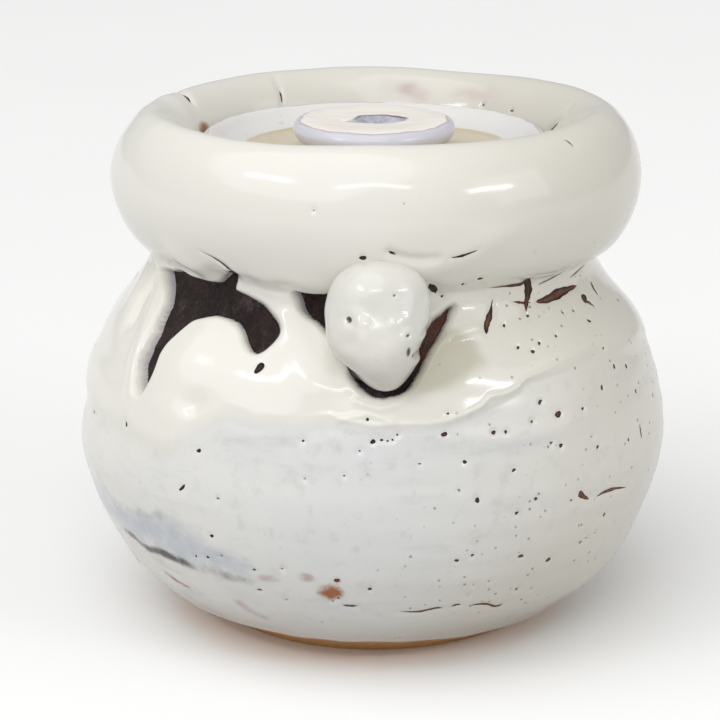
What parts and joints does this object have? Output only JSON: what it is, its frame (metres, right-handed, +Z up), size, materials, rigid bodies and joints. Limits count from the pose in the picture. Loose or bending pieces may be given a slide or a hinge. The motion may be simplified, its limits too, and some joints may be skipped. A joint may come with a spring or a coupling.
{
  "type": "water jar",
  "caption": "Round stoneware water jar for tea with a thick rolled rim, lump-shaped ears, crawled white glaze and a sunk lift-off lid with a disc knob.",
  "frame": {"origin": "centre of the foot ring, on the surface that the jar stands on", "axes": "+Z up along the jar's axis, -Y towards the front lug, +X to the right as seen from the front"},
  "size_m": [0.2, 0.202, 0.173],
  "materials": {
    "dark_clay": "bare fired clay, dark brown, rough",
    "tan_clay": "bare fired clay, tan, matt",
    "lid_clay": "bare fired clay, brown, matt",
    "body_glaze": "thick glossy white glaze, cool, pinholed",
    "rim_glaze": "thick glossy cream-white glaze",
    "lug_glaze": "thick glossy white glaze",
    "lining_glaze": "thin glossy white glaze",
    "lid_glaze": "glossy cream-white glaze",
    "knob_glaze": "satin cream-white glaze, thin and purplish at the edges"
  },
  "bodies": {
    "jar": {"jar_wall": "dark_clay", "foot_ring": "tan_clay", "rolled_rim": "dark_clay", "lid_seat": "dark_clay", "front_lug": "dark_clay", "back_lug": "dark_clay", "inner_glaze": "lining_glaze", "body_glaze": "body_glaze", "rim_glaze": "rim_glaze", "front_lug_glaze": "lug_glaze", "back_lug_glaze": "lug_glaze"},
    "lid": {"lid_plate": "lid_clay", "lid_knob": "lid_clay", "lid_glaze": "lid_glaze", "knob_glaze": "knob_glaze"}
  },
  "joints": [
    {"name": "lid_lift", "type": "slide", "parent": "jar", "child": "lid", "axis": [0, 0, 1], "range_m": [0, 0.12]}
  ]
}
